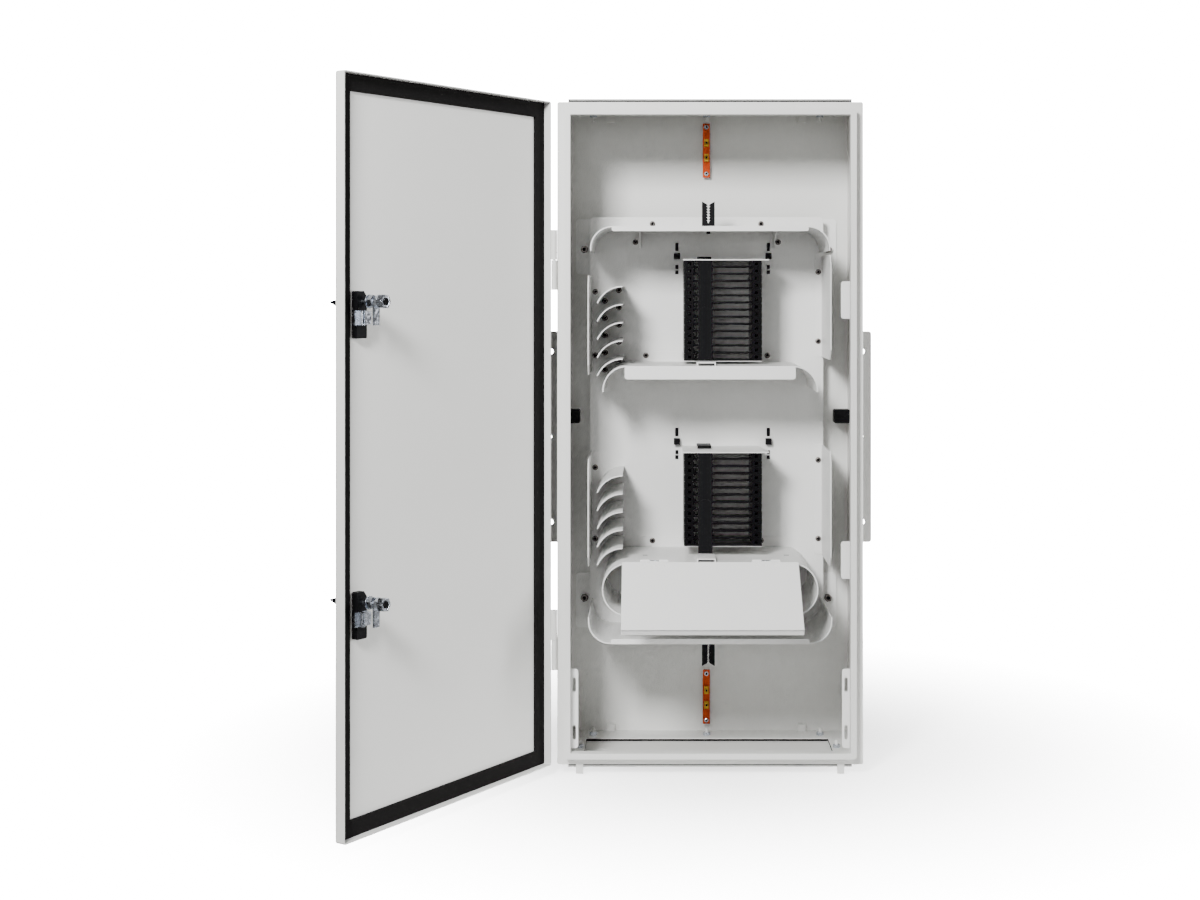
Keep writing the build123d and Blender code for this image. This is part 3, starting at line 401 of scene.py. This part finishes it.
# Panel screws are drawn a little wider than their plain stand-ins
SCREW_SPREAD = 1.25
# Nuts stop at no exact angle when they are tightened
NUT_TURN = 0.2

screws = bmesh.new()
for low, high in loose_solids("panel_screws"):
    middle = (low + high) / 2
    pan_head(screws, middle.x, middle.z, high.y, (high.x - low.x) / 2 * SCREW_SPREAD,
             high.y - low.y, DULL)
fit(screws, "panel_screw_heads", "cabinet", "zinc_plate", ("panel_screws",),
    (SOCKET_PAINTED_SHADE, DULL_ZINC))

nuts = bmesh.new()
for low, high in loose_solids("chassis_nuts"):
    middle = (low + high) / 2
    hexagon_nut(nuts, middle.x, middle.z, high.y, low.y, min(high.x - low.x, high.z - low.z),
                NUT_TURN, DULL)
fit(nuts, "chassis_nut_set", "cabinet", "zinc_plate", ("chassis_nuts",),
    (SOCKET_PAINTED_SHADE, DULL_ZINC))


# Splice trays: two end posts with an eye, a floor strip and a front lip

TRAY_LEFT, TRAY_RIGHT = -35.25, 75.25
TRAY_FRONT, TRAY_BACK = -130.0, -34.0
TRAY_PITCH = 10.16
TRAY_TALL = 10.1
POST_WIDE = 13.5
POST_NICK_WIDE, POST_NICK_DEEP = 0.9, 1.1
EYE_IN, EYE_WIDE, EYE_TALL = 8.0, 4.4, 4.0
FLOOR_THICK, FLOOR_DEEP = 1.2, 24.0
LIP_THICK, LIP_TALL = 1.6, 1.4
RIB_WIDE, RIB_DROP = 3.0, 3.0
RACK_TOP = {"upper": 242.0, "lower": -31.0}
RACK_LID = 1.5
TRAY_COUNT = {"upper": 14, "lower": 13}


def splice_tray(stack, z0):
    """Adds one tray with its underside at a height."""
    z1 = z0 + TRAY_TALL
    eye = ((z0 + z1 - EYE_TALL) / 2, (z0 + z1 + EYE_TALL) / 2)
    deep = (TRAY_FRONT, TRAY_BACK)
    shoulder = z1 - POST_NICK_DEEP
    eye_start, eye_end = EYE_IN - EYE_WIDE / 2, EYE_IN + EYE_WIDE / 2
    for end, inward in ((TRAY_LEFT, 1), (TRAY_RIGHT, -1)):
        for start, stop in ((0, eye_start), (eye_end, POST_WIDE)):
            x0, x1 = sorted((end + inward * start, end + inward * stop))
            plate(stack, [(x0, z0), (x1, z0), (x1, shoulder), (x1 - POST_NICK_WIDE, z1),
                          (x0 + POST_NICK_WIDE, z1), (x0, shoulder)], *deep)
        beside_eye = sorted((end + inward * eye_start, end + inward * eye_end))
        block(stack, beside_eye, deep, (z0, eye[0]))
        block(stack, beside_eye, deep, (eye[1], z1))
    inner = (TRAY_LEFT + POST_WIDE, TRAY_RIGHT - POST_WIDE)
    floor_top = z0 + FLOOR_THICK
    lip = (TRAY_FRONT, TRAY_FRONT + LIP_THICK)
    block(stack, inner, (TRAY_FRONT, TRAY_FRONT + FLOOR_DEEP), (z0, floor_top))
    block(stack, inner, lip, (floor_top, floor_top + LIP_TALL))
    for end, inward in zip(inner, (1, -1)):
        plate(stack, [(end, floor_top), (end + inward * RIB_WIDE, floor_top),
                      (end, z1 - RIB_DROP)], *lip)


for level, count in TRAY_COUNT.items():
    stack = bmesh.new()
    for n in range(count):
        splice_tray(stack, RACK_TOP[level] - RACK_LID - (count - n) * TRAY_PITCH)
    fit(stack, level + "_tray_stack", "cabinet", "tray_plastic", (level + "_splice_trays",),
        edge=0.25)


# Hook-and-loop straps: the band, a loop over the rack's lid and the folded tail

STRAP_X, STRAP_WIDE, STRAP_THICK = -5.0, 20.0, 1.2
STRAP_GAP = 0.3
STRAP_UNDER_LID = 1.8
TAIL_TALL = 76.3
TAIL_FRONT_GAP, TAIL_BACK_GAP = 0.2, 0.1
LOOP_FRONT, LOOP_BACK = -81.0, -41.0
LOOP_TALL = 4.5
LOOP_ABOVE_LID = 0.3

for level in RACK_TOP:
    foot = node_box(level + "_tray_strap")[0].z
    wide = (STRAP_X - STRAP_WIDE / 2, STRAP_X + STRAP_WIDE / 2)
    face = TRAY_FRONT - STRAP_GAP
    front = face - STRAP_THICK
    top = RACK_TOP[level] - STRAP_UNDER_LID
    crown = RACK_TOP[level] + LOOP_TALL
    band = bmesh.new()
    block(band, wide, (front, face), (foot, top))
    tail = STRAP_WIDE / 2
    tail_middle = foot + TAIL_TALL - tail
    plate(band, [(wide[0], foot), (wide[1], foot)]
          + half_round(STRAP_X, tail_middle, tail, 12),
          front - STRAP_THICK - TAIL_FRONT_GAP, front - TAIL_BACK_GAP)
    block(band, wide, (front, LOOP_FRONT + STRAP_THICK), (top - STRAP_THICK, top))
    block(band, wide, (LOOP_FRONT, LOOP_FRONT + STRAP_THICK), (top - STRAP_THICK, crown))
    block(band, wide, (LOOP_FRONT, LOOP_BACK), (crown - STRAP_THICK, crown))
    block(band, wide, (LOOP_BACK - STRAP_THICK, LOOP_BACK),
          (RACK_TOP[level] + LOOP_ABOVE_LID, crown))
    fit(band, level + "_strap", "cabinet", "strap_fabric", (level + "_tray_strap",), edge=0.35)


# Ratchet clamps on the top shelf and under the cradle

JAW_DEEP = (-111.0, -97.0)
JAW_GAP, JAW_OUT = 0.9, 9.0
JAW_LEAD_IN = 2.2
FOOT_TALL, FIRST_NOTCH = 7.0, 9.0
NOTCH_PITCH, NOTCH_DEEP = 4.0, 2.0
NOTCH_SLOPE, NOTCH_TALL = 2.6, 3.0
BOLT_HALF = 2.6
BOLT_NEAR, BOLT_FAR = 1.6, 8.0
# Height of the sheet it stands on, the way it points and how tall it is
CLAMPS = {"upper": (287.0, 1, 38.0), "lower": (-293.0, -1, 46.0)}


def ratchet_clamp(level, seat, up, tall):
    """Two notched jaws on one foot, and the end of the bolt that holds it to its sheet."""
    inside = [(JAW_GAP, FOOT_TALL)]
    for n in range(int((tall - FIRST_NOTCH - NOTCH_PITCH) / NOTCH_PITCH)):
        start = FIRST_NOTCH + NOTCH_PITCH * n
        inside += [(JAW_GAP, start), (JAW_GAP + NOTCH_DEEP, start + NOTCH_SLOPE),
                   (JAW_GAP, start + NOTCH_TALL)]
    half = inside + [(JAW_LEAD_IN, tall - NOTCH_PITCH), (JAW_OUT, tall), (JAW_OUT, 0.0)]
    clamp = bmesh.new()
    plate(clamp, [(x, seat + up * h) for x, h in half[::-1]]
          + [(-x, seat + up * h) for x, h in half], *JAW_DEEP)
    middle = sum(JAW_DEEP) / 2
    block(clamp, (-BOLT_HALF, BOLT_HALF), (middle - BOLT_HALF, middle + BOLT_HALF),
          sorted((seat - up * BOLT_NEAR, seat - up * BOLT_FAR)))
    fit(clamp, level + "_ratchet_clamp", "cabinet", "black_plastic",
        (level + "_cable_clamp",), edge=0.2)


for level, (seat, up, tall) in CLAMPS.items():
    ratchet_clamp(level, seat, up, tall)


# Snap clips in the chassis slots beside the racks

CLIP_X = (-44.0, 91.0)
CLIP_FACE = -27.0
# Bottom and top above the rack's lid, half width, and how far each bar stands out
CLIP_BARS = ((14.0, 26.0, 2.2, 1.2), (2.0, 11.0, 4.4, 9.0), (-12.6, -6.8, 2.2, 1.2),
             (-20.0, -15.5, 2.2, 1.2))

clips = bmesh.new()
for lid in RACK_TOP.values():
    for x in CLIP_X:
        for bottom, top, half, proud in CLIP_BARS:
            block(clips, (x - half, x + half), (CLIP_FACE - proud, CLIP_FACE),
                  (lid + bottom, lid + top))
fit(clips, "snap_clips", "cabinet", "black_plastic", ("rack_clips",), edge=0.3)


# Earthing: brass terminals on the copper bars, each with its screw, and the bars' end screws

# Half a lug in shares of its stand-in's width, and its screw in shares of that half
LUG_SHARE, LUG_SCREW_SHARE = 0.4, 0.95
LUG_SCREW_TALL = 1.2
BAR_SCREW_IN = 5.5
BAR_SCREW_RADIUS, BAR_SCREW_TALL = 3.4, 2.0
BAR_SCREW_LIFT = 0.02

lugs = bmesh.new()
for low, high in loose_solids("ground_terminals"):
    middle = (low + high) / 2
    half = (high.x - low.x) * LUG_SHARE
    face = low.y + LUG_SCREW_TALL
    block(lugs, (middle.x - half, middle.x + half), (face, high.y), (low.z, high.z))
    pan_head(lugs, middle.x, middle.z, face, half * LUG_SCREW_SHARE,
             LUG_SCREW_TALL)
fit(lugs, "terminal_lugs", "cabinet", "brass", ("ground_terminals",), (SOCKET_PAINTED_SHADE,), edge=0.2)

end_screws = bmesh.new()
for bar in ("upper_ground_bar", "lower_ground_bar"):
    low, high = node_box(bar)
    for z in (low.z + BAR_SCREW_IN, high.z - BAR_SCREW_IN):
        pan_head(end_screws, (low.x + high.x) / 2, z, low.y - BAR_SCREW_LIFT, BAR_SCREW_RADIUS,
                 BAR_SCREW_TALL)
fit(end_screws, "ground_bar_screws", "cabinet", "zinc_plate", (), (SOCKET_PAINTED_SHADE,))


# Latch screws: drawn with the door shut, then swung open to their place at rest

HINGE = Vector((-216.0, -190.4, 0.0))
DOOR_OPEN = 122
LATCH_X = 173.0
LATCH_Z = {"upper": 184.5, "lower": -177.0}
SHAFT_RADIUS, SHAFT = 3.0, (-164.0, -210.8)
WASHER_RADIUS, WASHER = 8.4, (-186.5, -187.9)
# Back, front, width across flats and turn of the lock nut, the cam nut and the drilled head,
# which faces the inside of the cabinet; the hole in each is painted black as shade
LATCH_HEXAGONS = ((-178.4, -186.4, 14.5, 0.25), (-169.2, -175.2, 14.0, 0.5),
                  (-169.0, -162.3, 15.5, 0.1))
ARM_RADIUS, ARM_HALF, ARM_DROP = 5.5, 4.5, 28.5
ARM = (-178.3, -175.3)


def latch_screw(level, z):
    """Long screw with its nuts, washer, cam arm and drilled hexagon head."""
    screw = bmesh.new()
    disc(screw, LATCH_X, z, SHAFT_RADIUS, SHAFT, 16)
    disc(screw, LATCH_X, z, WASHER_RADIUS, WASHER, 24)
    for back, front, across, turn in LATCH_HEXAGONS:
        hexagon_nut(screw, LATCH_X, z, back, front, across, turn)
    plate(screw, half_round(LATCH_X, z, ARM_RADIUS, 10)
          + [(LATCH_X - ARM_HALF, z - ARM_DROP), (LATCH_X + ARM_HALF, z - ARM_DROP)], *ARM)
    fit(screw, level + "_latch_screw", level + "_latch", "zinc_plate",
        [level + "_latch_" + part for part in ("shaft", "nuts", "cam")], (SOCKET_PAINTED_SHADE,),
        edge=0.25, place=swing(HINGE, -DOOR_OPEN, "Z"))


for level, z in LATCH_Z.items():
    latch_screw(level, z)


# Flap of the slack drum: drawn hanging, then swung out to its place at rest

FLAP_AXIS = Vector((0.0, -188.5, -177.5))
FLAP_LIFT = 52
FLAP_HALF, FLAP_LONG, FLAP_THICK = 122.0, 128.0, 1.5
FLAP_BACK = 2.5
FLAP_TOP_GAP = 4.0
FLAP_RETURN = 9.0
LEAF_X = (-77.5, 77.5)
LEAF_HALF, LEAF_LONG, LEAF_THICK = 6.3, 12.5, 1.0
RIVET_DOWN, RIVET_APART = 11.0, 13.0
# Radius of a rivet head and how far it stands out of the flap there
RIVET_HEAD = ((0, 0), (2.0, 0), (1.9, 0.4), (1.2, 0.8), (0, 0.8))

flap = bmesh.new()
face = FLAP_AXIS.y - FLAP_BACK
behind = face + FLAP_THICK
bottom = FLAP_AXIS.z - FLAP_LONG
wide = (-FLAP_HALF, FLAP_HALF)
block(flap, wide, (face, behind), (bottom, FLAP_AXIS.z - FLAP_TOP_GAP))
block(flap, wide, (face, face + FLAP_RETURN), (bottom, bottom + FLAP_THICK))
for x in LEAF_X:
    block(flap, (x - LEAF_HALF, x + LEAF_HALF), (behind, behind + LEAF_THICK),
          (FLAP_AXIS.z - LEAF_LONG, FLAP_AXIS.z))
    for side in (-RIVET_APART, 0.0, RIVET_APART):
        turned(flap, x + side, FLAP_AXIS.z - RIVET_DOWN,
               [(radius, face - proud) for radius, proud in RIVET_HEAD], 14)
fit(flap, "slack_flap", "cover", "white_powder_coat", ("drum_cover",), edge=0.4,
    place=swing(FLAP_AXIS, -FLAP_LIFT, "X"))


# Painted shadow: thin black sheets on the drum top, where the gaps behind the hinge leaves and the
# slots near its ends fall dark

HINGE_SLOT_HALF, HINGE_SLOT = 19.5, (-185.4, -183.2)
END_SLOT_X = (-90.5, 111.0)
END_SLOT_HALF, END_SLOT = 3.5, (-117.0, -113.0)
HINGE_SLOT_Z = (-178.95, -178.85)
END_SLOT_Z = (-179.95, -179.85)

painted_slot_shadows = bmesh.new()
for x in LEAF_X:
    block(painted_slot_shadows, (x - HINGE_SLOT_HALF, x + HINGE_SLOT_HALF), HINGE_SLOT, HINGE_SLOT_Z)
for x in END_SLOT_X:
    block(painted_slot_shadows, (x - END_SLOT_HALF, x + END_SLOT_HALF), END_SLOT, END_SLOT_Z)
fit(painted_slot_shadows, "drum_painted_slot_shadows", "cabinet", "black_plastic")


# Stage, lights and camera, in metres

FLOOR_Z = -0.474
FLOOR_HALF = 2.0
# The floor is full near the object and gone at the second distance
FLOOR_FULL, FLOOR_GONE = 0.35, 1.3


def pale_floor():
    """Matt pale floor that fades out away from the object."""
    mat, shader, place = surface("pale_floor", "FFFFFF", 0.95, Specular_IOR_Level=0.0,
                                 Emission_Color=linear("FFFFFF"), Emission_Strength=0.12)
    reach = add_node(mat, "ShaderNodeVectorMath", [(place, 0)], operation="LENGTH")
    fade = add_node(mat, "ShaderNodeMapRange", [(reach.outputs["Value"], "Value")],
                    interpolation_type="SMOOTHSTEP", From_Min=FLOOR_FULL, From_Max=FLOOR_GONE,
                    To_Min=1.0, To_Max=0.0)
    mat.node_tree.links.new(fade.outputs["Result"], shader.inputs["Alpha"])
    return mat


sheet = bmesh.new()
bmesh.ops.create_grid(sheet, x_segments=1, y_segments=1, size=FLOOR_HALF,
                      matrix=Matrix.Translation((0, 0, FLOOR_Z)))
floor_mesh = bpy.data.meshes.new("floor")
sheet.to_mesh(floor_mesh)
sheet.free()
floor_mesh.materials.append(pale_floor())
floor = bpy.data.objects.new("floor", floor_mesh)
bpy.context.scene.collection.objects.link(floor)


def area_light(name, place, target, size, power):
    """Rectangular lamp at a place, facing a target."""
    data = bpy.data.lights.new(name, "AREA")
    data.shape = "RECTANGLE"
    data.size, data.size_y = size
    data.energy = power
    obj = bpy.data.objects.new(name, data)
    obj.location = place
    obj.rotation_euler = (Vector(target) - Vector(place)).to_track_quat("-Z", "Y").to_euler()
    bpy.context.scene.collection.objects.link(obj)


# The key light throws the shelves' shadows; the others fill, and the side light rakes the door
area_light("key_light", (-0.75, -2.1, 1.1), (0.0, -0.1, 0.1), (0.45, 0.45), 106.0)
area_light("front_light", (-0.35, -3.2, 0.45), (0.0, -0.1, 0.0), (0.8, 0.5), 11.0)
area_light("side_light", (2.9, -0.7, 0.4), (-0.3, -0.3, 0.0), (0.5, 1.4), 88.0)
area_light("low_light", (0.4, -2.9, -0.25), (0.0, -0.1, -0.1), (1.2, 0.3), 4.0)
area_light("top_light", (0.0, -0.5, 3.0), (0.0, -0.1, 0.0), (2.0, 1.2), 6.0)
area_light("back_light", (0.6, 3.0, 1.8), (0.0, -0.1, 0.0), (2.0, 2.0), 45.0)

# A white backdrop for the camera alone, over a weak ambient light
AMBIENT, BACKDROP = 0.03, 25.0

world = bpy.data.worlds.new("studio")
bpy.context.scene.world = world
world.use_nodes = True
ambient = world.node_tree.nodes["Background"]
ambient.inputs["Color"].default_value = linear("FFFFFF")
ambient.inputs["Strength"].default_value = AMBIENT
backdrop = add_node(world, "ShaderNodeBackground", Color=linear("FFFFFF"), Strength=BACKDROP)
seen = add_node(world, "ShaderNodeLightPath")
choice = add_node(world, "ShaderNodeMixShader",
                  [(seen.outputs["Is Camera Ray"], 0), (ambient.outputs["Background"], 1),
                   (backdrop.outputs["Background"], 2)])
world.node_tree.links.new(choice.outputs["Shader"],
                          world.node_tree.nodes["World Output"].inputs["Surface"])

camera_data = bpy.data.cameras.new("camera")
camera_data.sensor_width = 36.0
camera_data.lens = 53.7
camera_data.shift_x = -0.0433
camera_data.shift_y = -0.1325
camera_data.clip_end = 200.0
camera = bpy.data.objects.new("camera", camera_data)
camera.location = (-0.0807, -2.669, 0.197)
camera.rotation_euler = (math.radians(90), 0, 0)
bpy.context.scene.collection.objects.link(camera)
bpy.context.scene.camera = camera
